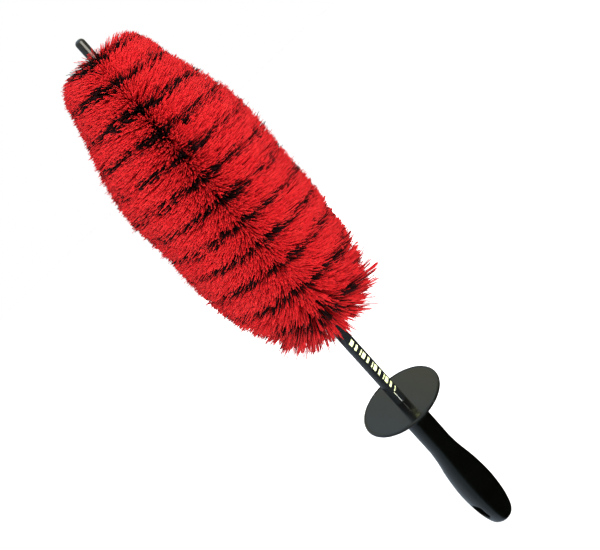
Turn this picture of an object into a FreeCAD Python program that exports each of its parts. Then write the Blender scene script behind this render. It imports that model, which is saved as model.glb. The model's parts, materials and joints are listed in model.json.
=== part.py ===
import FreeCAD, Part
import math
import os

# Wheel brush, standing on its butt with the tip up.
# Z runs along the brush, with the origin on the axis at the butt end of the handle.
# X runs through the hang slot. All sizes are in millimetres.

# Whole brush
LENGTH = 457.0

# Handle
HANDLE_LENGTH = 137.7
BUTT_RADIUS = 11.3          # where the rounded end meets the side
BUTT_HEIGHT = 7.5
PALM_RADIUS = 14.75
WAIST_RADIUS = 9.6
NECK_RADIUS = 9.9
# The side of the grip above the butt: (radius, height)
GRIP_OUTLINE = (
    (BUTT_RADIUS, BUTT_HEIGHT),
    (13.3, 17.0),
    (14.4, 28.0),
    (PALM_RADIUS, 42.0),
    (13.9, 55.0),
    (12.6, 66.0),
    (11.15, 75.0),
    (10.2, 84.0),
    (9.7, 95.0),
    (WAIST_RADIUS, 109.0),
    (NECK_RADIUS, HANDLE_LENGTH),
)
TOP_EDGE_ROUND = 1.2
SLOT_LENGTH = 18.0
SLOT_WIDTH = 8.0
SLOT_CENTRE_Z = 22.0
SLOT_EDGE_ROUND = 1.0

# Wire core: two strands, laid left-handed like the filament
WIRE_RADIUS = 1.3
STRAND_OFFSET = 1.33        # strand centre from the brush axis
WIRE_BURIED = 81.0          # length anchored inside the handle
WIRE_BORE_RADIUS = 2.75

# Stem sleeve
SLEEVE_RADIUS = 4.65
SLEEVE_BORE_RADIUS = 2.8
SLEEVE_BURIED = 26.0
SLEEVE_TOP_Z = 238.4

# Splash guard
GUARD_RADIUS = 32.5
GUARD_THICKNESS = 2.0
GUARD_LIP_WIDTH = 1.6
GUARD_LIP_HEIGHT = 0.5
GUARD_EDGE_BULGE = 0.3
SEAT_GAP = 0.05             # between the handle's top face and the guard

# Tip cap
CAP_RADIUS = 3.15
CAP_BORE_RADIUS = 2.65
CAP_LENGTH = 14.0
CAP_END_THICKNESS = 2.0
CAP_END_ROUND = 2.4

# Running clearance of anything that slides or bends on the sleeve, and the space left
# beyond the blind end of a bore
CLEARANCE = 0.05
END_GAP = 0.5

# Filament head: one red and one black band per turn of a left-handed spiral
TURNS = 11
PITCH = 16.2
BLACK_SHARE = 0.3           # of the pitch
BAND_GAP = 0.4
TURN_GAP_DEG = 1.5
ROOT_RADIUS = 2.9
ROOT_START = 15.0           # first filament, measured down from the tip
SPIRAL_START_DEG = -175.0
STEPS_PER_TURN = 24
# Where filament rooted at one depth ends: (root depth, tip radius, tip depth),
# depths measured down from the tip. It leans forward at the front of the head,
# stands square in the middle and sweeps back at the rear.
HEAD_OUTLINE = (
    (15.0, 24.0, 9.0),
    (26.0, 30.0, 21.5),
    (40.0, 35.0, 37.0),
    (62.0, 43.8, 61.0),
    (85.0, 49.5, 84.0),
    (125.0, 50.5, 125.0),
    (165.0, 50.5, 167.0),
    (182.0, 48.8, 190.0),
    (196.0, 43.5, 214.0),
    (205.0, 36.0, 234.0),
    (209.4, 25.0, 244.0),
)

ORIGIN = FreeCAD.Vector(0, 0, 0)
UP = FreeCAD.Vector(0, 0, 1)


def point(radius, z):
    """A point of a turned outline, in the XZ plane."""
    return FreeCAD.Vector(radius, 0, z)


def turned(edges):
    """The solid that a closed outline in the XZ plane sweeps about the brush axis."""
    face = Part.Face(Part.Wire(Part.__sortEdges__(edges)))
    return face.revolve(ORIGIN, UP, 360)


def ring(inner_radius, outer_radius, z_low, z_high):
    """A plain tube on the brush axis."""
    height = z_high - z_low
    outer = Part.makeCylinder(outer_radius, height, FreeCAD.Vector(0, 0, z_low))
    inner = Part.makeCylinder(inner_radius, height, FreeCAD.Vector(0, 0, z_low))
    return outer.cut(inner)


def circular_edges_at(shape, radius, z):
    """The circular edges of a turned solid that have this radius and height."""
    found = []
    for edge in shape.Edges:
        if edge.Degenerated or not isinstance(edge.Curve, Part.Circle):
            continue
        circle = edge.Curve
        if abs(circle.Radius - radius) < 0.01 and abs(circle.Center.z - z) < 0.01:
            found.append(edge)
    return found


def handle_body():
    """The solid grip, from its rounded butt over the palm bulge to the slim neck."""
    butt_curve = Part.Ellipse(ORIGIN, BUTT_RADIUS, BUTT_HEIGHT)
    stations = [point(0, 0)]
    for share in (0.3, 0.65):
        angle = math.radians(-90 + 90 * share)
        at = butt_curve.value(angle)
        stations.append(point(at.x, BUTT_HEIGHT + at.y))
    stations += [point(radius, z) for radius, z in GRIP_OUTLINE]
    outline = Part.BSplineCurve()
    outline.interpolate(
        Points=stations,
        InitialTangent=FreeCAD.Vector(1, 0, 0),
        FinalTangent=FreeCAD.Vector(0, 0, 1),
    )
    top = Part.LineSegment(point(NECK_RADIUS, HANDLE_LENGTH), point(0, HANDLE_LENGTH))
    axis = Part.LineSegment(point(0, HANDLE_LENGTH), point(0, 0))
    body = turned([outline.toShape(), top.toShape(), axis.toShape()])
    rim = circular_edges_at(body, NECK_RADIUS, HANDLE_LENGTH)
    return body.makeFillet(TOP_EDGE_ROUND, rim)


def hang_slot():
    """The tool that cuts the slot through the grip, along X."""
    half_run = (SLOT_LENGTH - SLOT_WIDTH) / 2
    radius = SLOT_WIDTH / 2
    reach = 2 * PALM_RADIUS
    start = FreeCAD.Vector(-reach, 0, SLOT_CENTRE_Z - half_run)
    along = FreeCAD.Vector(1, 0, 0)
    low = Part.makeCylinder(radius, 2 * reach, start, along)
    high = low.translated(FreeCAD.Vector(0, 0, 2 * half_run))
    corner = FreeCAD.Vector(-reach, -radius, SLOT_CENTRE_Z - half_run)
    middle = Part.makeBox(2 * reach, SLOT_WIDTH, 2 * half_run, corner)
    return low.fuse(middle).fuse(high).removeSplitter()


def slot_mouth_edges(body):
    """The edges where the slot breaks through the side of the grip."""
    half_length = SLOT_LENGTH / 2 + 0.1
    half_width = SLOT_WIDTH / 2 + 0.1
    found = []
    for edge in body.Edges:
        box = edge.BoundBox
        in_height = max(abs(box.ZMin - SLOT_CENTRE_Z), abs(box.ZMax - SLOT_CENTRE_Z)) < half_length
        in_width = max(abs(box.YMin), abs(box.YMax)) < half_width
        one_side = box.XMin * box.XMax > 0
        if in_height and in_width and one_side:
            found.append(edge)
    return found


def handle():
    """The grip with its hang slot, the sleeve socket and the narrower wire bore."""
    body = handle_body().cut(hang_slot())
    body = body.makeFillet(SLOT_EDGE_ROUND, slot_mouth_edges(body))
    socket_z = HANDLE_LENGTH - SLEEVE_BURIED - END_GAP
    socket = Part.makeCylinder(
        SLEEVE_RADIUS + CLEARANCE,
        HANDLE_LENGTH - socket_z,
        FreeCAD.Vector(0, 0, socket_z),
    )
    bore_z = HANDLE_LENGTH - WIRE_BURIED - END_GAP
    bore = Part.makeCylinder(
        WIRE_BORE_RADIUS,
        HANDLE_LENGTH - bore_z,
        FreeCAD.Vector(0, 0, bore_z),
    )
    return body.cut(socket.fuse(bore))


def splash_guard():
    """A flat disc with a low rounded lip, free to slide on the sleeve."""
    low = HANDLE_LENGTH + SEAT_GAP
    high = low + GUARD_THICKNESS
    lip = high + GUARD_LIP_HEIGHT
    bore = SLEEVE_RADIUS + CLEARANCE
    lip_inner = GUARD_RADIUS - GUARD_LIP_WIDTH
    lip_middle = GUARD_RADIUS - GUARD_LIP_WIDTH / 2
    crown = Part.Arc(point(lip_inner, high), point(lip_middle, lip), point(GUARD_RADIUS, high))
    side = Part.Arc(
        point(GUARD_RADIUS, high),
        point(GUARD_RADIUS + GUARD_EDGE_BULGE, low + GUARD_THICKNESS / 2),
        point(GUARD_RADIUS, low),
    )
    edges = [
        Part.LineSegment(point(bore, low), point(bore, high)).toShape(),
        Part.LineSegment(point(bore, high), point(lip_inner, high)).toShape(),
        crown.toShape(),
        side.toShape(),
        Part.LineSegment(point(GUARD_RADIUS, low), point(bore, low)).toShape(),
    ]
    return turned(edges)


def stem_sleeve():
    """The tube over the bare core, sunk into the handle at its lower end."""
    low = HANDLE_LENGTH - SLEEVE_BURIED
    return ring(SLEEVE_BORE_RADIUS, SLEEVE_RADIUS, low, SLEEVE_TOP_Z)


def core_wire(start_deg):
    """One strand of the core, from its anchorage in the handle to inside the cap."""
    low = HANDLE_LENGTH - WIRE_BURIED
    height = LENGTH - CAP_END_THICKNESS - END_GAP - low
    spine = Part.makeLongHelix(PITCH, height, STRAND_OFFSET, 0, True)
    rise = PITCH / (2 * math.pi)
    along = FreeCAD.Vector(0, -STRAND_OFFSET, rise)
    start = FreeCAD.Vector(STRAND_OFFSET, 0, 0)
    section = Part.Wire([Part.makeCircle(WIRE_RADIUS, start, along)])
    strand = spine.makePipeShell([section], True, True)
    strand.rotate(ORIGIN, UP, start_deg)
    strand.translate(FreeCAD.Vector(0, 0, low))
    return strand


def tip_cap():
    """A closed cup with a rounded end, pushed over the cut ends of the wires."""
    low = LENGTH - CAP_LENGTH
    outer = Part.makeCylinder(CAP_RADIUS, CAP_LENGTH, FreeCAD.Vector(0, 0, low))
    outer = outer.makeFillet(CAP_END_ROUND, circular_edges_at(outer, CAP_RADIUS, LENGTH))
    bore_depth = CAP_LENGTH - CAP_END_THICKNESS
    bore = Part.makeCylinder(CAP_BORE_RADIUS, bore_depth, FreeCAD.Vector(0, 0, low))
    return outer.cut(bore)


def tip_curve():
    """Tip radius (x) and tip depth (z) of the filament, as a curve of root depth."""
    curve = Part.BSplineCurve()
    curve.interpolate(
        Points=[point(radius, depth) for _, radius, depth in HEAD_OUTLINE],
        Parameters=[root for root, _, _ in HEAD_OUTLINE],
    )
    return curve


def band_point(angle, radius, depth):
    """A point of the head, its depth measured down from the tip."""
    return FreeCAD.Vector(radius * math.cos(angle), radius * math.sin(angle), LENGTH - depth)


def bristle_band(turn, low_share, high_share, tips):
    """One turn of filament between two shares of the pitch, from root to tip."""
    sweep = math.radians(360 - TURN_GAP_DEG)
    first_angle = math.radians(SPIRAL_START_DEG)
    curves = {}
    sides = (("front", low_share, BAND_GAP / 2), ("rear", high_share, -BAND_GAP / 2))
    for side, share, inset in sides:
        roots = []
        ends = []
        for step in range(STEPS_PER_TURN + 1):
            turned_by = sweep * step / STEPS_PER_TURN
            depth = ROOT_START + PITCH * (turn + turned_by / (2 * math.pi) + share) + inset
            tip = tips.value(depth)
            roots.append(band_point(first_angle + turned_by, ROOT_RADIUS, depth))
            ends.append(band_point(first_angle + turned_by, tip.x, tip.z))
        for place, points in (("root", roots), ("tip", ends)):
            curve = Part.BSplineCurve()
            curve.interpolate(points)
            curves[side, place] = curve.toShape()
    corners = (("front", "root"), ("front", "tip"), ("rear", "tip"), ("rear", "root"))
    faces = []
    for here, there in zip(corners, corners[1:] + corners[:1]):
        faces.append(Part.makeRuledSurface(curves[here], curves[there]))
    for end in (0, -1):
        loop = [curves[corner].Vertexes[end].Point for corner in corners]
        faces.append(Part.Face(Part.makePolygon(loop + loop[:1])))
    shell = Part.Shell(faces)
    shell.sewShape()
    solid = Part.Solid(shell)
    if solid.Volume < 0:
        solid.reverse()
    return solid


def head_bands():
    """Every turn of the spiral: a black band in front of a red one."""
    tips = tip_curve()
    bands = {}
    for turn in range(TURNS):
        number = f"{turn + 1:02d}"
        bands["black_bristles_" + number] = bristle_band(turn, 0.0, BLACK_SHARE, tips)
        bands["red_bristles_" + number] = bristle_band(turn, BLACK_SHARE, 1.0, tips)
    return bands


def nodes():
    """Every piece of the brush by name."""
    pieces = {
        "handle": handle(),
        "splash_guard": splash_guard(),
        "stem_sleeve": stem_sleeve(),
        "core_wire_a": core_wire(0),
        "core_wire_b": core_wire(180),
        "tip_cap": tip_cap(),
    }
    pieces.update(head_bands())
    return pieces


os.makedirs("parts", exist_ok=True)
for name, shape in nodes().items():
    solid = shape.Solids[0]
    solid.exportStep(f"parts/{name}.step")
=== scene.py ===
import json
import math

import bpy
import numpy as np
from mathutils import Matrix, Vector


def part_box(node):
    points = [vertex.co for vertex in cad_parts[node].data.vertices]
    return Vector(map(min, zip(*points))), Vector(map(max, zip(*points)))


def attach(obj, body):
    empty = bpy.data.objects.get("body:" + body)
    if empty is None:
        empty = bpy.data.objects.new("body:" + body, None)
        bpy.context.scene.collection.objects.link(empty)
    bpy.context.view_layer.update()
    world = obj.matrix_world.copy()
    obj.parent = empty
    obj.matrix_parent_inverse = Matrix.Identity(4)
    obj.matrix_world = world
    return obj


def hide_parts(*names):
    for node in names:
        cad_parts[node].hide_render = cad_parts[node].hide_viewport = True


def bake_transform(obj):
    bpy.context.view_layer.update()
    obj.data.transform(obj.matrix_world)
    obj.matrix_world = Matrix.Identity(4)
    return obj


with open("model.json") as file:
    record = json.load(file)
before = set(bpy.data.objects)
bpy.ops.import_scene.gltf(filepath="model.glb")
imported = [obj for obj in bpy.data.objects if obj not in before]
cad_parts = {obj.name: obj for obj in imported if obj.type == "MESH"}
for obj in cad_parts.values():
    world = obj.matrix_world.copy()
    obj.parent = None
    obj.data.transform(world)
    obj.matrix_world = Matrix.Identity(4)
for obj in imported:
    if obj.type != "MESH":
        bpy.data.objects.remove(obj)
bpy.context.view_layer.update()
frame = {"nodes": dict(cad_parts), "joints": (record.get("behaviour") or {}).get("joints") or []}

# Looks of the wheel brush: filament head, sleeved stem, marks on the stem, materials,
# studio floor, lights and camera. Metres; Z runs from the butt to the tip.

MM = 0.001
RANDOM_SEED = 20


# ---------------------------------------------------------------- sizes from the frame

def span(node):
    """A node's lowest and highest corners, as arrays."""
    low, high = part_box(node)
    return np.array(low), np.array(high)


def outer_radius(node):
    """Half of a turned node's width."""
    low, high = span(node)
    return float(high[0] - low[0]) / 2


TIP_Z = float(span("tip_cap")[1][2])
SLEEVE_LOW_Z = float(span("stem_sleeve")[0][2])
SLEEVE_HIGH_Z = float(span("stem_sleeve")[1][2])
SLEEVE_RADIUS = outer_radius("stem_sleeve")
GUARD_TOP_Z = float(span("splash_guard")[1][2])
WIRE_LOW_Z = float(span("core_wire_a")[0][2])
WIRE_HIGH_Z = float(span("core_wire_a")[1][2])

joint_of = {joint["name"]: joint for joint in frame["joints"]}
NECK_BEND_Z = joint_of["neck_bend"]["pos_m"][2]
HEAD_BEND_Z = joint_of["head_bend"]["pos_m"][2]
NECK_SPLIT_Z = (NECK_BEND_Z + HEAD_BEND_Z) / 2      # halfway between the two bend joints, where the sleeve and wires are split in two


# ---------------------------------------------------------------- making objects

def make_mesh(name, points, faces):
    mesh = bpy.data.meshes.new(name)
    mesh.from_pydata(points, [], faces)
    mesh.update()
    return mesh


def add_object(name, data):
    made = bpy.data.objects.new(name, data)
    bpy.context.scene.collection.objects.link(made)
    return made


def blend_neck(piece):
    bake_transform(piece)


def blend_head(piece):
    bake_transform(piece)


# ---------------------------------------------------------------- filament head

TURNS = 11
PITCH = 16.2 * MM
SPIRAL_START = math.radians(-175)
FILAMENTS = 92000
FILAMENT_RADIUS = 0.25 * MM
FILAMENT_CORNERS = 3
FILAMENT_RINGS = 3
CUT_TIP = 0.62                # radius of the cut tip, as a share of the filament's
ROOT_RADIUS = 2.9 * MM
ROOT_FIRST = 15.0 * MM        # depth below the tip of the first filament
DENSE_FROM = 17.5 * MM        # the filament is sparse in front of this root depth
SPARSE_KEEP = 0.22
RAGGED_FROM = 176 * MM        # root depth where the swept-back rear begins
RAGGED_FULL = 203 * MM
# (root depth, tip radius, tip depth), depths below the tip, in mm
HEAD_OUTLINE = np.array([
    (15.0, 19.0, 11.5),
    (17.5, 24.0, 15.0),
    (22.0, 28.3, 19.2),
    (27.0, 30.6, 23.5),
    (40.0, 34.6, 37.0),
    (52.0, 39.4, 50.5),
    (62.0, 43.2, 61.0),
    (85.0, 49.0, 84.0),
    (125.0, 49.8, 125.0),
    (165.0, 50.0, 166.5),
    (182.0, 48.6, 187.5),
    (196.0, 44.0, 209.5),
    (205.0, 37.5, 227.5),
    (209.4, 27.0, 237.0),
]) * MM
ROOT_LAST = HEAD_OUTLINE[-1, 0]

# where tips scatter and gather
MEAN_TIP_RADIUS = 45 * MM
SCATTER_AROUND = 1.1 * MM
SCATTER_ALONG = 1.2 * MM
SPRIG_SIZE = 2.0 * MM         # a few filaments whose tips cling together
TUFT_SIZE = 8.5 * MM          # many sprigs that lean the same way
# share of the way to the clump's centre: everywhere, by clump, at the rear, at most
TUFT_PULL = (0.04, 0.06, 0.38, 0.65)
SPRIG_PULL = (0.18, 0.16, 0.25, 0.85)
CLUMP_MARGIN = 20 * MM        # clumps reach this far behind the last tips
PARTINGS = 160
PARTING_PUSH = 0.75 * MM
PARTING_PUSH_RANGE = (0.4, 1.3)
PARTING_REACH = 2.2 * MM
PARTING_EXTENT = (0.12, 0.5)  # radians round the head
PARTING_SLOPE = 0.3

# lean towards the tip on one side
LONG_SIDE = math.radians(-29)  # the rear is trimmed longer on this side
LONG_SIDE_SHARE = 0.11
LEAN = math.radians(14)       # towards the tip, on that side
REAR_LEAN = math.radians(10)  # more of it towards the rear
LEAN_SETBACK = 0.7            # how much of the lean comes from roots that sit further back
LEAN_SAG = 0.09               # and how much the filament bows with it
SETBACK_FROM = 150 * MM
ROOT_SETBACK = 7.0 * MM       # the rear roots sit this much further back
LAST_ROOT = 217.0 * MM        # just in front of the end of the sleeve
LAST_ROOT_SPREAD = 1.5 * MM
REAR_SAG = 1.6 * MM
CURL = 0.15 * MM
CURL_REAR = 2                 # so much more curl at the rear

# uneven trim, in shares of the filament's length
UNEVEN_TUFT = 0.010
UNEVEN_SPRIG = 0.013
UNEVEN_SINGLE = 0.008
UNEVEN_REAR = 2.6             # so much more uneven at the rear
STRAYS = 0.03                 # share of the filaments that stand proud
STRAYS_REAR = 0.04            # more of them at the rear
STRAY_LENGTH = (0.01, 0.06)
STRAY_REAR = 3                # so much prouder at the rear
REAR_CUT = 0.15               # most of the rear is cut back on the long side
REAR_CUT_BACK = 0.3           # how much of that cut is made on the other side
SINGLE_SPRIG = 0.9            # sprigs past this number stand out singly at the rear
SINGLE_PROUD = 0.03
BLACK_CUT = 0.95              # half of the black filaments are cut to this share

# black bands, in shares of the pitch
BLACK_SHARE = 0.27
BLACK_CENTRE = 0.15           # as in the CAD bands
BLACK_SIDE = math.radians(-119)  # the black bands are fullest facing this way and behind
BLACK_EVEN = 0.86             # width of the band, as a share of BLACK_SHARE
BLACK_FULLNESS = 0.24         # wider where it is fullest, narrower between
BLACK_BY_TUFT = 0.12          # wider or narrower from tuft to tuft
BLACK_BY_TUFT_LONG_SIDE = 0.2
BLACK_REAR = 0.3              # wider at the rear
DRIFT_TUFT = 0.035            # how far tufts, sprigs and filaments stray from the band
DRIFT_SPRIG = 0.05
DRIFT_SINGLE = 0.055
DRIFT_FULLNESS = 0.03         # less where the band is fullest
DRIFT_LONG_SIDE = 0.015       # and more on the long side
DRIFT_REAR = 0.16
THIN_FRONT = 0.08             # round the edges of the long side the bands are thinner,
THIN_REST = 0.2               # behind these root depths by so much more,
THIN_FROM = 60 * MM
THIN_FULL = 110 * MM
THIN_SIDE = (0.05, 0.4)       # from these cosines of the angle to its middle,
FULL_MIDDLE = (0.65, 0.95)    # and round its middle they are fuller instead

# shade of each filament, from 0 to 1
SHADE_MEAN = 0.5
SHADE_SPRIG = 0.16
SHADE_TUFT = 0.07
SHADE_SINGLE = 0.35


def smooth_curve(stations, values, at):
    """A cubic through the stations, with slopes from their neighbours."""
    slopes = np.gradient(values, stations)
    right = np.clip(np.searchsorted(stations, at), 1, len(stations) - 1)
    left = right - 1
    width = stations[right] - stations[left]
    u = (at - stations[left]) / width
    a = 2 * u**3 - 3 * u**2 + 1
    b = u**3 - 2 * u**2 + u
    c = -2 * u**3 + 3 * u**2
    d = u**3 - u**2
    return a * values[left] + b * width * slopes[left] + c * values[right] + d * width * slopes[right]


def ease(value, low, high):
    """Zero below low, one above high, smooth between."""
    u = np.clip((value - low) / (high - low), 0, 1)
    return u * u * (3 - 2 * u)


def wrapped(angle):
    """An angle brought between minus and plus half a turn."""
    return (angle + math.pi) % (2 * math.pi) - math.pi


def nearest_clump(rng, size, tip_angle, tip_depth, tip_radius):
    """The way to the nearest of a scatter of clump centres, and four numbers of its own."""
    around = int(round(2 * math.pi * MEAN_TIP_RADIUS / size))
    along = int(math.ceil((HEAD_OUTLINE[-1, 2] + CLUMP_MARGIN) / size))
    centre = rng.uniform(0, 1, (2, around, along))
    own = rng.normal(0, 1, (4, around, along))
    cell_angle = 2 * math.pi / around
    cell_u = np.floor(tip_angle / cell_angle).astype(int)
    cell_v = np.clip(np.floor(tip_depth / size).astype(int), 1, along - 2)
    nearest = np.full(len(tip_angle), np.inf)
    to_angle = np.zeros(len(tip_angle))
    to_depth = np.zeros(len(tip_angle))
    traits = np.zeros((4, len(tip_angle)))
    for du in (-1, 0, 1):
        for dv in (-1, 0, 1):
            iu = (cell_u + du) % around
            iv = cell_v + dv
            way_angle = (cell_u + du + centre[0, iu, iv]) * cell_angle - tip_angle
            way_depth = (iv + centre[1, iu, iv]) * size - tip_depth
            distance = np.hypot(way_angle * tip_radius, way_depth)
            closer = distance < nearest
            nearest = np.where(closer, distance, nearest)
            to_angle = np.where(closer, way_angle, to_angle)
            to_depth = np.where(closer, way_depth, to_depth)
            traits = np.where(closer, own[:, iu, iv], traits)
    return to_angle, to_depth, traits


def gather(rng, size, pull, tip_angle, tip_depth, tip_radius, ragged):
    """Draws tips towards the centres of their clumps, more so at the rear."""
    to_angle, to_depth, traits = nearest_clump(rng, size, tip_angle, tip_depth, tip_radius)
    everywhere, by_clump, rear, most = pull
    share = np.clip(everywhere + by_clump * traits[0] + rear * ragged, 0, most)
    return tip_angle + share * to_angle, tip_depth + share * to_depth, traits


def part_tips(rng, tip_angle, tip_depth):
    """Depths of the tips after short partings have pushed them to either side."""
    for _ in range(PARTINGS):
        at_angle = rng.uniform(-math.pi, math.pi)
        extent = rng.uniform(*PARTING_EXTENT)
        at_depth = rng.uniform(ROOT_FIRST, HEAD_OUTLINE[-1, 2])
        slope = rng.normal(0, PARTING_SLOPE)
        push = PARTING_PUSH * rng.uniform(*PARTING_PUSH_RANGE)
        across = wrapped(tip_angle - at_angle)
        away = tip_depth - at_depth - slope * across * MEAN_TIP_RADIUS
        tip_depth = tip_depth + push * np.sign(away) * np.exp(
            -np.abs(away) / PARTING_REACH - (across / extent) ** 2)
    return tip_depth


def scatter_roots(rng):
    """Depths and directions of the roots, few of them in front of the dense part."""
    root = rng.uniform(ROOT_FIRST, ROOT_LAST, FILAMENTS)
    moved = (root < DENSE_FROM) & (rng.uniform(0, 1, FILAMENTS) > SPARSE_KEEP)
    root = np.where(moved, rng.uniform(DENSE_FROM, ROOT_LAST, FILAMENTS), root)
    return root, rng.uniform(0, 2 * math.pi, FILAMENTS)


def place_tips(rng, root, angle, ragged):
    """Tips on the outline, scattered, then leaning in tufts, clinging in sprigs and parted."""
    radius = smooth_curve(HEAD_OUTLINE[:, 0], HEAD_OUTLINE[:, 1], root)
    radius = radius * (1 + LONG_SIDE_SHARE * ragged * np.cos(angle - LONG_SIDE))
    depth = smooth_curve(HEAD_OUTLINE[:, 0], HEAD_OUTLINE[:, 2], root)
    tip_angle = angle + rng.normal(0, SCATTER_AROUND, FILAMENTS) * (1 + ragged) / radius
    depth = depth + rng.normal(0, SCATTER_ALONG, FILAMENTS) * (1 + ragged)
    tip_angle, depth, tuft = gather(rng, TUFT_SIZE, TUFT_PULL, tip_angle, depth, radius, ragged)
    tip_angle, depth, sprig = gather(rng, SPRIG_SIZE, SPRIG_PULL, tip_angle, depth, radius, ragged)
    return tip_angle, radius, part_tips(rng, tip_angle, depth), tuft, sprig


def lean_roots(rng, root, tip_radius, ragged, toward):
    """Roots set back where the filament leans towards the tip, and the bow of each filament."""
    lean = (LEAN + REAR_LEAN * ragged) * toward
    setback = ROOT_SETBACK * ease(root, SETBACK_FROM, ROOT_LAST) + lean * tip_radius * LEAN_SETBACK
    last = LAST_ROOT - LAST_ROOT_SPREAD * rng.uniform(0, 1, FILAMENTS)
    curl = rng.normal(0, CURL, (FILAMENTS, 3)) * (1 + CURL_REAR * ragged)[:, None]
    curl[:, 2] -= lean * tip_radius * LEAN_SAG + REAR_SAG * ragged
    return np.minimum(root + setback, last), curl


def trim(rng, tuft, sprig, ragged, toward):
    """Lengths as shares of the way to the outline: uneven, with strays and single sprigs."""
    uneven = UNEVEN_TUFT * tuft[1] + UNEVEN_SPRIG * sprig[1] + rng.normal(0, UNEVEN_SINGLE, FILAMENTS)
    length = 1 + uneven * (1 + UNEVEN_REAR * ragged)
    stray = rng.uniform(0, 1, FILAMENTS) < STRAYS + STRAYS_REAR * ragged
    proud = rng.uniform(*STRAY_LENGTH, FILAMENTS) * (1 + STRAY_REAR * ragged)
    length = np.where(stray, length + proud, length)
    cut = np.where(sprig[2] < SINGLE_SPRIG, REAR_CUT, -SINGLE_PROUD)
    return length - cut * ragged * (REAR_CUT_BACK + (1 - REAR_CUT_BACK) * toward)


def is_black(rng, phase, root, angle, tuft, sprig, ragged, toward):
    """Which filaments belong to the black band, with its loose edges and changing width."""
    fullness = np.cos(2 * (angle - BLACK_SIDE))
    drift = DRIFT_TUFT * tuft[2] + DRIFT_SPRIG * sprig[2] * (1 + ragged)
    drift = drift + rng.normal(0, 1, FILAMENTS) * (
        DRIFT_SINGLE - DRIFT_FULLNESS * fullness + DRIFT_LONG_SIDE * toward)
    drift = drift + DRIFT_REAR * sprig[1] * ragged
    by_tuft = (BLACK_BY_TUFT + BLACK_BY_TUFT_LONG_SIDE * toward) * tuft[3]
    width = BLACK_SHARE * (BLACK_EVEN + BLACK_FULLNESS * fullness + by_tuft)
    width = width * (1 + BLACK_REAR * ragged)
    thinning = (THIN_FRONT + THIN_REST * ease(root, THIN_FROM, THIN_FULL)) * ease(toward, *THIN_SIDE)
    width = width * (1 - thinning * (1 - 2 * ease(toward, *FULL_MIDDLE)))
    return np.abs((phase + drift - BLACK_CENTRE + 0.5) % 1 - 0.5) < width / 2


def filament_layout(rng):
    """Where every filament starts and ends, and the turn and colour it belongs to."""
    root, angle = scatter_roots(rng)
    ragged = ease(root, RAGGED_FROM, RAGGED_FULL)
    toward = np.clip(np.cos(angle - LONG_SIDE), 0, 1)
    tip_angle, tip_radius, tip_depth, tuft, sprig = place_tips(rng, root, angle, ragged)
    place, curl = lean_roots(rng, root, tip_radius, ragged, toward)
    length = trim(rng, tuft, sprig, ragged, toward)
    phase = (root - ROOT_FIRST) / PITCH - ((angle - SPIRAL_START) % (2 * math.pi)) / (2 * math.pi)
    black = is_black(rng, phase, root, angle, tuft, sprig, ragged, toward)
    shade = SHADE_MEAN + SHADE_SPRIG * sprig[3] + SHADE_TUFT * tuft[3]
    shade = shade + rng.uniform(-SHADE_SINGLE, SHADE_SINGLE, FILAMENTS)
    cut_black = black & (rng.uniform(0, 1, FILAMENTS) < 0.5)
    return {
        "root": place,
        "angle": angle,
        "tip_angle": tip_angle,
        "tip_radius": tip_radius,
        "tip_depth": tip_depth,
        "length": np.where(cut_black, length * BLACK_CUT, length),
        "black": black,
        "turn": np.clip(np.floor(phase).astype(int), 0, TURNS - 1),
        "shade": np.clip(shade, 0, 1),
        "curl": curl,
    }


def on_head(angle, radius, depth):
    """Points of the head from angle, radius and depth below the tip."""
    return np.stack([radius * np.cos(angle), radius * np.sin(angle), TIP_Z - depth], axis=1)


def filament_points(layout, pick):
    """Corner points of the picked filaments, ring by ring, and how far along each one is."""
    count = len(pick)
    start = on_head(layout["angle"][pick], np.full(count, ROOT_RADIUS), layout["root"][pick])
    end = on_head(layout["tip_angle"][pick], layout["tip_radius"][pick], layout["tip_depth"][pick])
    run = (end - start) * layout["length"][pick][:, None]
    direction = run / np.linalg.norm(run, axis=1)[:, None]
    helper = np.cross(direction, np.array([0.0, 0.0, 1.0]))
    side = helper / np.linalg.norm(helper, axis=1)[:, None]
    over = np.cross(direction, side)
    points = []
    along = []
    for ring in range(FILAMENT_RINGS):
        share = ring / (FILAMENT_RINGS - 1)
        bow = 4 * share * (1 - share)
        middle = start + run * share + layout["curl"][pick] * bow
        radius = FILAMENT_RADIUS * (CUT_TIP if ring == FILAMENT_RINGS - 1 else 1.0)
        for corner in range(FILAMENT_CORNERS):
            turn = 2 * math.pi * corner / FILAMENT_CORNERS
            points.append(middle + radius * (math.cos(turn) * side + math.sin(turn) * over))
            along.append(np.full(count, share))
    return np.stack(points, axis=1).reshape(-1, 3), np.stack(along, axis=1).reshape(-1)


def filament_faces(count):
    """Four-cornered sides and three-cornered ends of so many filaments."""
    sides = []
    for ring in range(FILAMENT_RINGS - 1):
        for corner in range(FILAMENT_CORNERS):
            here = FILAMENT_CORNERS * ring + corner
            there = FILAMENT_CORNERS * ring + (corner + 1) % FILAMENT_CORNERS
            sides.append((here, there, there + FILAMENT_CORNERS, here + FILAMENT_CORNERS))
    per_filament = FILAMENT_CORNERS * FILAMENT_RINGS
    last = per_filament - FILAMENT_CORNERS
    ends = [(2, 1, 0), (last, last + 1, last + 2)]
    base = (np.arange(count) * per_filament)[:, None, None]
    return (np.array(sides)[None] + base).reshape(-1, 4), (np.array(ends)[None] + base).reshape(-1, 3)


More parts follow.
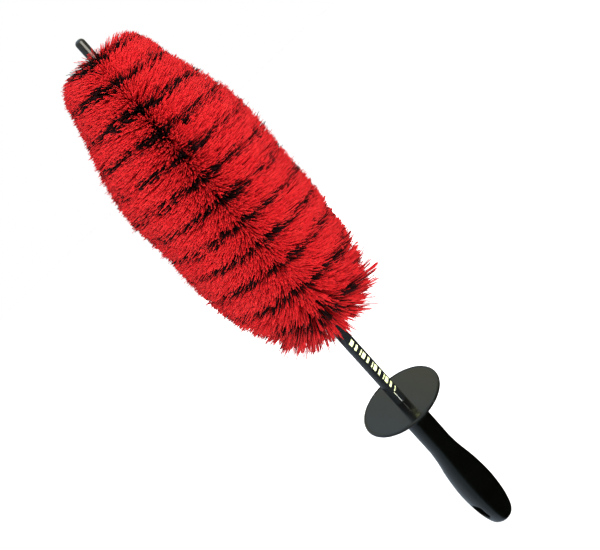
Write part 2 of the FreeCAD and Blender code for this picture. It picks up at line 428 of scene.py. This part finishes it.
def filament_mesh(name, layout, chosen):
    """One mesh of closed three-sided filaments, tapered towards cut tips."""
    pick = np.nonzero(chosen)[0]
    points, along = filament_points(layout, pick)
    quads, caps = filament_faces(len(pick))
    mesh = bpy.data.meshes.new(name)
    mesh.vertices.add(len(points))
    mesh.vertices.foreach_set("co", points.astype(np.float32).ravel())
    corners = np.concatenate([quads.ravel(), caps.ravel()]).astype(np.int32)
    mesh.loops.add(len(corners))
    mesh.loops.foreach_set("vertex_index", corners)
    sizes = np.concatenate([np.full(len(quads), 4), np.full(len(caps), 3)])
    mesh.polygons.add(len(sizes))
    starts = np.concatenate([[0], np.cumsum(sizes)[:-1]]).astype(np.int32)
    mesh.polygons.foreach_set("loop_start", starts)
    mesh.polygons.foreach_set("use_smooth", sizes == 4)
    mesh.update(calc_edges=True)
    shade = np.repeat(layout["shade"][pick], FILAMENT_CORNERS * FILAMENT_RINGS)
    for title, values in (("shade", shade), ("reach", along)):
        attribute = mesh.attributes.new(title, "FLOAT", "POINT")
        attribute.data.foreach_set("value", values.astype(np.float32))
    mesh.validate()
    return mesh


def build_head(materials):
    layout = filament_layout(np.random.default_rng(RANDOM_SEED))
    for turn in range(TURNS):
        for colour in ("black", "red"):
            chosen = (layout["turn"] == turn) & (layout["black"] == (colour == "black"))
            node = f"{colour}_bristles_{turn + 1:02d}"
            piece = add_object(f"{colour}_filaments_{turn + 1:02d}",
                               filament_mesh(node + "_mesh", layout, chosen))
            piece.data.materials.append(materials[colour])
            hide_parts(node)
            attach(piece, "head")


# ---------------------------------------------------------------- stem

SLEEVE_WALL = 1.6 * MM
SLEEVE_EDGE = 0.5 * MM        # rounding of the sleeve's free ends
SLEEVE_STEP = 1.5 * MM        # length of one row of faces
SLEEVE_AROUND = 72
SLEEVE_SHARP = math.radians(35)
EDGE_TURNS = [math.radians(turn_deg) for turn_deg in (30, 60, 90)]
STRAND_RADIUS = 1.3 * MM
STRAND_OFFSET = 1.33 * MM     # from the brush axis to the middle of a strand
STRAND_AROUND = 14
STRAND_ROWS_PER_TURN = 18


def lathe(name, outline):
    """A turned ring-shaped mesh from a closed outline of (radius, z) points."""
    points = []
    for radius, z in outline:
        for step in range(SLEEVE_AROUND):
            angle = 2 * math.pi * step / SLEEVE_AROUND
            points.append((radius * math.cos(angle), radius * math.sin(angle), z))
    faces = []
    for row in range(len(outline)):
        low = row * SLEEVE_AROUND
        high = (row + 1) % len(outline) * SLEEVE_AROUND
        for step in range(SLEEVE_AROUND):
            after = (step + 1) % SLEEVE_AROUND
            faces.append((low + step, low + after, high + after, high + step))
    mesh = make_mesh(name, points, faces)
    for face in mesh.polygons:
        face.use_smooth = True
    mesh.set_sharp_from_angle(angle=SLEEVE_SHARP)
    return mesh


def sleeve_half(name, z_low, z_high, round_low, round_high):
    """Part of the stem tube, with its free end rounded over."""
    steps = max(2, int(round((z_high - z_low) / SLEEVE_STEP)))
    outer_low = z_low + (SLEEVE_EDGE if round_low else 0)
    outer_high = z_high - (SLEEVE_EDGE if round_high else 0)
    rim_radius = SLEEVE_RADIUS - SLEEVE_EDGE
    outline = []
    for step in range(steps + 1):
        outline.append((SLEEVE_RADIUS, outer_low + (outer_high - outer_low) * step / steps))
    if round_high:
        for turn in EDGE_TURNS:
            outline.append((rim_radius + SLEEVE_EDGE * math.cos(turn),
                            outer_high + SLEEVE_EDGE * math.sin(turn)))
    for step in range(steps + 1):
        outline.append((SLEEVE_RADIUS - SLEEVE_WALL, z_high + (z_low - z_high) * step / steps))
    if round_low:
        for turn in reversed(EDGE_TURNS):
            outline.append((rim_radius + SLEEVE_EDGE * math.cos(turn),
                            outer_low - SLEEVE_EDGE * math.sin(turn)))
    return add_object(name, lathe(name, outline))


def build_sleeve(material):
    lower = sleeve_half("sleeve_lower", SLEEVE_LOW_Z, NECK_SPLIT_Z, True, False)
    upper = sleeve_half("sleeve_upper", NECK_SPLIT_Z, SLEEVE_HIGH_Z, False, True)
    for piece in (lower, upper):
        piece.data.materials.append(material)
        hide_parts("stem_sleeve")
    blend_neck(lower)
    blend_head(upper)


def wire_half(name, start_angle, z_low, z_high):
    """One strand of the twisted core between two heights."""
    steps = max(2, int((z_high - z_low) / PITCH * STRAND_ROWS_PER_TURN))
    rise = -PITCH / (2 * math.pi)
    points = []
    for step in range(steps + 1):
        z = z_low + (z_high - z_low) * step / steps
        angle = start_angle + (z - WIRE_LOW_Z) / rise
        x, y = math.cos(angle), math.sin(angle)
        centre = Vector((STRAND_OFFSET * x, STRAND_OFFSET * y, z))
        along = Vector((-STRAND_OFFSET * y, STRAND_OFFSET * x, rise)).normalized()
        out = Vector((x, y, 0))
        over = along.cross(out)
        for corner in range(STRAND_AROUND):
            turn = 2 * math.pi * corner / STRAND_AROUND
            points.append(centre + STRAND_RADIUS * (math.cos(turn) * out + math.sin(turn) * over))
    faces = []
    for step in range(steps):
        for corner in range(STRAND_AROUND):
            here = step * STRAND_AROUND + corner
            there = step * STRAND_AROUND + (corner + 1) % STRAND_AROUND
            faces.append((here, there, there + STRAND_AROUND, here + STRAND_AROUND))
    faces.append(tuple(reversed(range(STRAND_AROUND))))
    faces.append(tuple(range(steps * STRAND_AROUND, (steps + 1) * STRAND_AROUND)))
    mesh = make_mesh(name, points, faces)
    for face in mesh.polygons:
        face.use_smooth = len(face.vertices) == 4
    return add_object(name, mesh)


def build_wires(material):
    for strand, start_angle in (("a", 0.0), ("b", math.pi)):
        node = "core_wire_" + strand
        lower = wire_half(node + "_lower", start_angle, WIRE_LOW_Z, NECK_SPLIT_Z)
        upper = wire_half(node + "_upper", start_angle, NECK_SPLIT_Z, WIRE_HIGH_Z)
        for piece in (lower, upper):
            piece.data.materials.append(material)
            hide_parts(node)
        blend_neck(lower)
        blend_head(upper)


# ---------------------------------------------------------------- marks on the stem

MARK_LOW_Z = GUARD_TOP_Z + 10.4 * MM
MARK_PITCH = 4.4 * MM
MARK_COUNT = 12
MARK_FACING = math.radians(-105)      # direction round the stem that the marks face
MARK_LEAN = 1.9 * MM                  # how far the row drifts round the stem, top to bottom
BAR_HALF = 1.9 * MM
BAR_SHIFT = 1.0 * MM                  # round the stem, away from the painted highlight line
BAR_SLANT = 1.3 * MM
BAR_THIN = 1.0 * MM                   # bars come in three thicknesses, in turn
BAR_THICKER = 1.1 * MM
HIGHLIGHT_LINE_GAP = 0.4 * MM                   # between the guard and the painted highlight line
HIGHLIGHT_LINE_WIDTH = 0.35 * MM
# the thin shell that both the ink bars and the painted highlight line are laid on
MARK_RADIUS = SLEEVE_RADIUS + 0.03 * MM
MARK_DEPTH = 0.05 * MM
MARK_CUTS = 6


def mark_patch(points, faces, corners):
    """Adds a closed patch over a four-cornered area, given as (arc length, z); the ink bars and the
    painted highlight line are both made of such patches.
    """
    first = len(points)
    middle_z = MARK_LOW_Z + MARK_COUNT * MARK_PITCH / 2
    for radius in (MARK_RADIUS, MARK_RADIUS - MARK_DEPTH):
        for i in range(MARK_CUTS + 1):
            u = i / MARK_CUTS
            for start, stop in ((corners[0], corners[1]), (corners[3], corners[2])):
                arc = start[0] + (stop[0] - start[0]) * u
                z = start[1] + (stop[1] - start[1]) * u
                lean = np.clip((middle_z - z) / (MARK_COUNT * MARK_PITCH), -0.5, 0.5)
                angle = MARK_FACING + (arc + MARK_LEAN * lean) / SLEEVE_RADIUS
                points.append((radius * math.cos(angle), radius * math.sin(angle), z))
    layer = 2 * (MARK_CUTS + 1)
    for i in range(MARK_CUTS):
        a = first + 2 * i
        faces.append((a, a + 2, a + 3, a + 1))
        faces.append((a + layer + 1, a + layer + 3, a + layer + 2, a + layer))
        faces.append((a, a + layer, a + layer + 2, a + 2))
        faces.append((a + 1, a + 3, a + layer + 3, a + layer + 1))
    faces.append((first, first + 1, first + layer + 1, first + layer))
    a = first + 2 * MARK_CUTS
    faces.append((a, a + layer, a + layer + 1, a + 1))


def build_marks(material):
    """A row of slanted bars, plain ornament in place of print, above a fine pale line that is a
    painted highlight running down the stem to the guard.
    """
    points = []
    faces = []
    low = BAR_SHIFT - BAR_HALF
    high = BAR_SHIFT + BAR_HALF
    for index in range(MARK_COUNT):
        z = MARK_LOW_Z + index * MARK_PITCH
        thick = BAR_THIN + BAR_THICKER * (index % 3)
        mark_patch(points, faces, [
            (low, z), (high, z + BAR_SLANT), (high, z + BAR_SLANT + thick), (low, z + thick)])
    # painted highlight: a thin pale line from the guard up to the bars, where the stem's highlight
    # runs
    foot = GUARD_TOP_Z + HIGHLIGHT_LINE_GAP
    right = HIGHLIGHT_LINE_WIDTH - BAR_HALF
    mark_patch(points, faces, [
        (-BAR_HALF, foot), (right, foot), (right, MARK_LOW_Z), (-BAR_HALF, MARK_LOW_Z)])
    piece = add_object("stem_marks", make_mesh("stem_marks", points, faces))
    piece.data.materials.append(material)
    blend_neck(piece)


# ---------------------------------------------------------------- materials

class Nodes:
    """Short calls for building a material's node tree."""

    def __init__(self, name):
        self.material = bpy.data.materials.new(name)
        self.material.use_nodes = True
        self.tree = self.material.node_tree
        self.shader = self.tree.nodes["Principled BSDF"]

    def add(self, kind, **settings):
        node = self.tree.nodes.new(kind)
        for key, value in settings.items():
            setattr(node, key, value)
        return node

    def link(self, output, socket):
        self.tree.links.new(output, socket)

    def place(self):
        return self.add("ShaderNodeTexCoord").outputs["Object"]

    def noise(self, scale, detail):
        texture = self.add("ShaderNodeTexNoise")
        texture.inputs["Scale"].default_value = scale
        texture.inputs["Detail"].default_value = detail
        self.link(self.place(), texture.inputs["Vector"])
        return texture.outputs["Fac"]

    def ramp(self, value, stops):
        node = self.add("ShaderNodeValToRGB")
        elements = node.color_ramp.elements
        while len(elements) < len(stops):
            elements.new(0.5)
        for element, (position, colour) in zip(elements, stops):
            element.position = position
            element.color = (*colour, 1)
        self.link(value, node.inputs["Fac"])
        return node.outputs["Color"]

    def spread(self, value, low, high, from_low=0.3, from_high=0.7):
        node = self.add("ShaderNodeMapRange")
        node.inputs["From Min"].default_value = from_low
        node.inputs["From Max"].default_value = from_high
        node.inputs["To Min"].default_value = low
        node.inputs["To Max"].default_value = high
        self.link(value, node.inputs["Value"])
        return node.outputs["Result"]

    def multiply(self, first, second):
        node = self.add("ShaderNodeMix", data_type="RGBA", blend_type="MULTIPLY")
        node.inputs["Factor"].default_value = 1.0
        self.link(first, node.inputs["A"])
        self.link(second, node.inputs["B"])
        return node.outputs["Result"]

    def bump(self, height, strength, distance):
        node = self.add("ShaderNodeBump")
        node.inputs["Strength"].default_value = strength
        node.inputs["Distance"].default_value = distance
        self.link(height, node.inputs["Height"])
        self.link(node.outputs["Normal"], self.shader.inputs["Normal"])

    def attribute(self, name):
        return self.add("ShaderNodeAttribute", attribute_name=name).outputs["Fac"]

    def set(self, **inputs):
        """Links or sets the shader's inputs; an underscore stands for a space."""
        for key, value in inputs.items():
            socket = self.shader.inputs[key.replace("_", " ")]
            if isinstance(value, bpy.types.NodeSocket):
                self.link(value, socket)
            else:
                socket.default_value = value


def filament_material(name, dark, middle, bright, painted_root_shade, shine):
    """Extruded filament: a shade of its own for each, and painted shade that makes it darker towards
    the root, where the filaments shadow each other.
    """
    n = Nodes(name)
    own = n.ramp(n.attribute("shade"), [(0.0, dark), (0.5, middle), (1.0, bright)])
    # painted shade: the colour is multiplied darker inward from the cut tip, in place of the shadow
    # among the filaments
    along = n.ramp(n.attribute("reach"), [(0.0, painted_root_shade), (0.75, (0.8, 0.8, 0.8)), (1.0, (1, 1, 1))])
    n.set(Base_Color=n.multiply(own, along), Roughness=n.spread(n.noise(900, 2.0), 0.34, 0.55),
          Specular_IOR_Level=shine)
    return n.material


def moulded_plastic(name, dark, light, rough, skin):
    """Black moulding: faint cloudiness, handling polish and a fine skin texture."""
    n = Nodes(name)
    n.set(Base_Color=n.ramp(n.noise(38, 4.0), [(0.3, dark), (0.7, light)]),
          Roughness=n.spread(n.noise(70, 5.0), *rough))
    n.bump(n.noise(900, 2.0), skin, 0.4 * MM)
    return n.material


def steel_material():
    n = Nodes("wire_steel")
    cloud = n.noise(500, 4.0)
    n.set(Base_Color=n.ramp(cloud, [(0.3, (0.36, 0.36, 0.35)), (0.7, (0.62, 0.62, 0.60))]),
          Roughness=n.spread(cloud, 0.45, 0.28), Metallic=1.0)
    n.bump(n.noise(3000, 2.0), 0.1, 0.2 * MM)
    return n.material


def ink_and_highlight_material():
    """Pale yellow ink, a little thin and worn in places; towards the guard it turns bluish white, a
    painted highlight on the line along the stem's foot.
    """
    n = Nodes("mark_ink_and_painted_highlight")
    cover = n.noise(1400, 4.0)
    ink = n.ramp(cover, [(0.28, (0.34, 0.36, 0.16)), (0.5, (0.60, 0.66, 0.32)),
                         (1.0, (0.68, 0.72, 0.40))])
    # painted highlight: below the bars the colour is tinted bluish white, in place of the stem's
    # highlight
    place = n.add("ShaderNodeSeparateXYZ")
    n.link(n.place(), place.inputs["Vector"])
    height = n.spread(place.outputs["Z"], 0.0, 1.0, MARK_LOW_Z - 4 * MM, MARK_LOW_Z + 2 * MM)
    painted_highlight_tint = n.ramp(height, [(0.0, (0.62, 0.62, 1.15)), (1.0, (1.0, 1.0, 1.0))])
    n.set(Base_Color=n.multiply(ink, painted_highlight_tint), Roughness=n.spread(cover, 0.5, 0.3))
    n.bump(n.noise(4000, 2.0), 0.08, 0.1 * MM)
    return n.material


def floor_material():
    n = Nodes("floor_paint")
    paint = n.ramp(n.noise(3, 2.0), [(0.3, (0.93, 0.93, 0.93)), (0.7, (0.95, 0.95, 0.95))])
    n.set(Base_Color=paint, Roughness=0.9, Specular_IOR_Level=0.0)
    return n.material


def dress(node, material):
    """Puts a material on every slot of a CAD node."""
    for slot in frame["nodes"][node].material_slots:
        slot.link = "OBJECT"
        slot.material = material


# ---------------------------------------------------------------- studio

CAMERA_REACH = 0.407          # from the brush axis
CAMERA_HEIGHT = 0.397
CAMERA_AIM_Z = 0.265
CAMERA_SIDE = math.radians(29)  # towards -X from straight in front
ROLL_SINE = 0.668
ROLL_COSINE = 0.744
LENS_MM = 38.58
SENSOR_MM = 36.0
SHIFT = (0.0160, 0.0040)
FLOOR_HALF = 6.0
LIGHT_AIM = (0, 0, 0.28)

# what gloss mirrors: pairs of cosines or heights between which one tone turns into another
CARD_TURN = math.radians(17)  # how far behind the brush the reflected card is centred
CARD_EDGE = (0.16, 0.42)      # cosines from the card's centre
CARD_CORE = (0.55, 0.98)
CARD_TONES = ((0.32, 0.40, 0.47), (0.52, 0.62, 0.72))
DARK_TONE = (0.008, 0.009, 0.005)
PANEL_EDGE = (0.17, 0.39)     # cosines from the card's centre, for the panel above it
PANEL_STEP = (0.525, 0.565)   # heights, as sines of the angle above the floor
PANEL_TONES = ((0.56, 0.62, 0.60), (0.74, 0.94, 1.12))
WARM_TONE = (0.74, 0.76, 0.52)
LOW_TO_HIGH = (0.05, 0.3)
OVERHEAD_STEP = (0.72, 0.86)
OVERHEAD_TONE = (1.3, 1.7, 2.0)
SOFT_LIGHT = 0.45             # strength of the white world that lights everything but gloss


def build_camera():
    place = Vector((-CAMERA_REACH * math.sin(CAMERA_SIDE), -CAMERA_REACH * math.cos(CAMERA_SIDE),
                    CAMERA_HEIGHT))
    forward = (Vector((0, 0, CAMERA_AIM_Z)) - place).normalized()
    level_right = forward.cross(Vector((0, 0, 1))).normalized()
    level_up = level_right.cross(forward)
    right = ROLL_COSINE * level_right - ROLL_SINE * level_up
    up = ROLL_SINE * level_right + ROLL_COSINE * level_up
    data = bpy.data.cameras.new("camera")
    data.lens = LENS_MM
    data.sensor_width = SENSOR_MM
    data.shift_x, data.shift_y = SHIFT
    camera = add_object("camera", data)
    turn = Matrix((right, up, -forward)).transposed()
    camera.matrix_world = Matrix.Translation(place) @ turn.to_4x4()
    bpy.context.scene.camera = camera


def area_light(name, place, aim, size, watts, colour=(1, 1, 1)):
    data = bpy.data.lights.new(name, "AREA")
    data.shape = "RECTANGLE"
    data.size, data.size_y = size
    data.energy = watts
    data.color = colour
    light = add_object(name, data)
    light.location = place
    light.rotation_euler = (Vector(aim) - Vector(place)).to_track_quat("-Z", "Y").to_euler()
    return light


def build_world():
    """White to the camera, an even soft light, and a card and a panel for gloss to mirror."""
    world = bpy.data.worlds.new("studio")
    bpy.context.scene.world = world
    world.use_nodes = True
    nodes = world.node_tree.nodes
    links = world.node_tree.links

    def backdrop(colour, strength=1.0):
        node = nodes.new("ShaderNodeBackground")
        node.inputs["Color"].default_value = (*colour, 1)
        node.inputs["Strength"].default_value = strength
        return node

    def smooth_step(value, limits):
        node = nodes.new("ShaderNodeMapRange")
        node.interpolation_type = "SMOOTHSTEP"
        node.inputs["From Min"].default_value, node.inputs["From Max"].default_value = limits
        links.new(value, node.inputs["Value"])
        return node.outputs["Result"]

    def vector_maths(operation, first, second=None):
        node = nodes.new("ShaderNodeVectorMath")
        node.operation = operation
        links.new(first, node.inputs[0])
        if second is not None:
            node.inputs[1].default_value = second
        return node.outputs["Value" if operation == "DOT_PRODUCT" else "Vector"]

    def blended(factor, first, second):
        node = nodes.new("ShaderNodeMix")
        node.data_type = "RGBA"
        links.new(factor, node.inputs["Factor"])
        for socket, colour in (("A", first), ("B", second)):
            if isinstance(colour, tuple):
                node.inputs[socket].default_value = (*colour, 1)
            else:
                links.new(colour, node.inputs[socket])
        return node.outputs["Result"]

    def mixed(factor, first, second):
        node = nodes.new("ShaderNodeMixShader")
        links.new(factor, node.inputs["Fac"])
        links.new(first, node.inputs[1])
        links.new(second, node.inputs[2])
        return node.outputs["Shader"]

    left = Vector((-math.cos(CAMERA_SIDE), math.sin(CAMERA_SIDE), 0))
    away = Vector((math.sin(CAMERA_SIDE), math.cos(CAMERA_SIDE), 0))
    card = left * math.cos(CARD_TURN) + away * math.sin(CARD_TURN)
    direction = nodes.new("ShaderNodeTexCoord").outputs["Generated"]
    level = vector_maths("NORMALIZE", vector_maths("MULTIPLY", direction, (1, 1, 0)))
    facing = vector_maths("DOT_PRODUCT", level, card)
    height = vector_maths("DOT_PRODUCT", direction, (0, 0, 1))
    card_tone = blended(smooth_step(facing, CARD_CORE), *CARD_TONES)
    low_tone = blended(smooth_step(facing, CARD_EDGE), DARK_TONE, card_tone)
    panel_tone = blended(smooth_step(height, PANEL_STEP), *PANEL_TONES)
    high_tone = blended(smooth_step(facing, PANEL_EDGE), WARM_TONE, panel_tone)
    open_tone = blended(smooth_step(height, LOW_TO_HIGH), low_tone, high_tone)
    overhead = blended(smooth_step(height, OVERHEAD_STEP), open_tone, OVERHEAD_TONE)
    mirrored = backdrop((0, 0, 0))
    links.new(overhead, mirrored.inputs["Color"])

    path = nodes.new("ShaderNodeLightPath").outputs
    soft = backdrop((1, 1, 1), SOFT_LIGHT).outputs["Background"]
    white = backdrop((1, 1, 1)).outputs["Background"]
    by_gloss = mixed(path["Is Glossy Ray"], soft, mirrored.outputs["Background"])
    by_camera = mixed(path["Is Camera Ray"], by_gloss, white)
    links.new(by_camera, nodes["World Output"].inputs["Surface"])


def build_floor():
    """A pale floor that the brush stands on."""
    half = FLOOR_HALF
    corners = [(-half, -half, 0), (half, -half, 0), (half, half, 0), (-half, half, 0)]
    floor = add_object("floor", make_mesh("floor", corners, [(0, 1, 2, 3)]))
    floor.data.materials.append(floor_material())
    floor.visible_glossy = False


def build_lights():
    soft = [
        area_light("front_fill", (-0.295, -0.81, 0.56), LIGHT_AIM, (0.4, 0.4), 22),
        area_light("left_fill", (-0.95, -0.25, 0.6), LIGHT_AIM, (0.8, 1.0), 1.5, (0.97, 0.98, 1.0)),
        area_light("right_fill", (0.9, -0.35, 0.6), LIGHT_AIM, (0.8, 1.0), 1, (1.0, 0.98, 0.97)),
        area_light("back_fill", (0.7, 0.8, 0.6), LIGHT_AIM, (0.8, 0.8), 14),
    ]
    data = bpy.data.lights.new("sky", "SUN")
    data.energy = 2.0
    data.angle = math.radians(60)
    sky = add_object("sky", data)
    sky.rotation_euler = (math.radians(12), 0, 0)
    for light in (*soft, sky):
        light.visible_glossy = False


def accent(name, node, turn_deg, reach, heights, width, watts, colour):
    """An upright panel that lights one piece only, turned so far right of the camera."""
    turn = math.radians(turn_deg) - CAMERA_SIDE
    low_z, high_z = heights
    middle = (low_z + high_z) / 2
    place = Vector((reach * math.sin(turn), -reach * math.cos(turn), middle))
    light = area_light(name, place, (0, 0, middle), (width, high_z - low_z), watts, colour)
    light.visible_diffuse = False
    lit = bpy.data.collections.new(name + "_receivers")
    lit.objects.link(frame["nodes"][node])
    light.light_linking.receiver_collection = lit


def build_studio():
    build_world()
    build_floor()
    build_lights()
    build_camera()
    accent("cap_streak", "tip_cap", turn_deg=31, reach=0.2, heights=(0.38, 0.6), width=0.17,
           watts=1.0, colour=(1.0, 0.97, 0.84))
    accent("guard_edge", "splash_guard", turn_deg=0, reach=0.6, heights=(-0.08, 0.08), width=0.7,
           watts=0.55, colour=(0.7, 0.92, 1.0))
    bpy.context.scene.view_settings.view_transform = "Standard"


# ---------------------------------------------------------------- the brush

# the root colour given to each filament material is painted shade, darkening the filaments towards
# their roots
build_head({
    "red": filament_material("red_filament", dark=(0.325, 0.006, 0.008), middle=(0.355, 0.008, 0.010),
                             bright=(0.39, 0.013, 0.013), painted_root_shade=(0.96, 0.94, 0.96), shine=0.2),
    "black": filament_material("black_filament", dark=(0.002, 0.001, 0.001),
                               middle=(0.005, 0.002, 0.002), bright=(0.014, 0.004, 0.005),
                               painted_root_shade=(0.6, 0.6, 0.6), shine=0.1),
})
build_sleeve(moulded_plastic("sleeve_plastic", dark=(0.004, 0.005, 0.005),
                             light=(0.007, 0.008, 0.009), rough=(0.08, 0.13), skin=0.005))
build_wires(steel_material())
build_marks(ink_and_highlight_material())
dress("handle", moulded_plastic("handle_plastic", dark=(0.0004, 0.0005, 0.0004),
                                light=(0.0007, 0.0009, 0.0007), rough=(0.13, 0.19), skin=0.002))
dress("splash_guard", moulded_plastic("guard_plastic", dark=(0.0016, 0.0016, 0.0014),
                                      light=(0.0028, 0.003, 0.0028), rough=(0.14, 0.19), skin=0.003))
dress("tip_cap", moulded_plastic("cap_vinyl", dark=(0.005, 0.005, 0.005),
                                 light=(0.009, 0.009, 0.009), rough=(0.14, 0.22), skin=0.01))
build_studio()
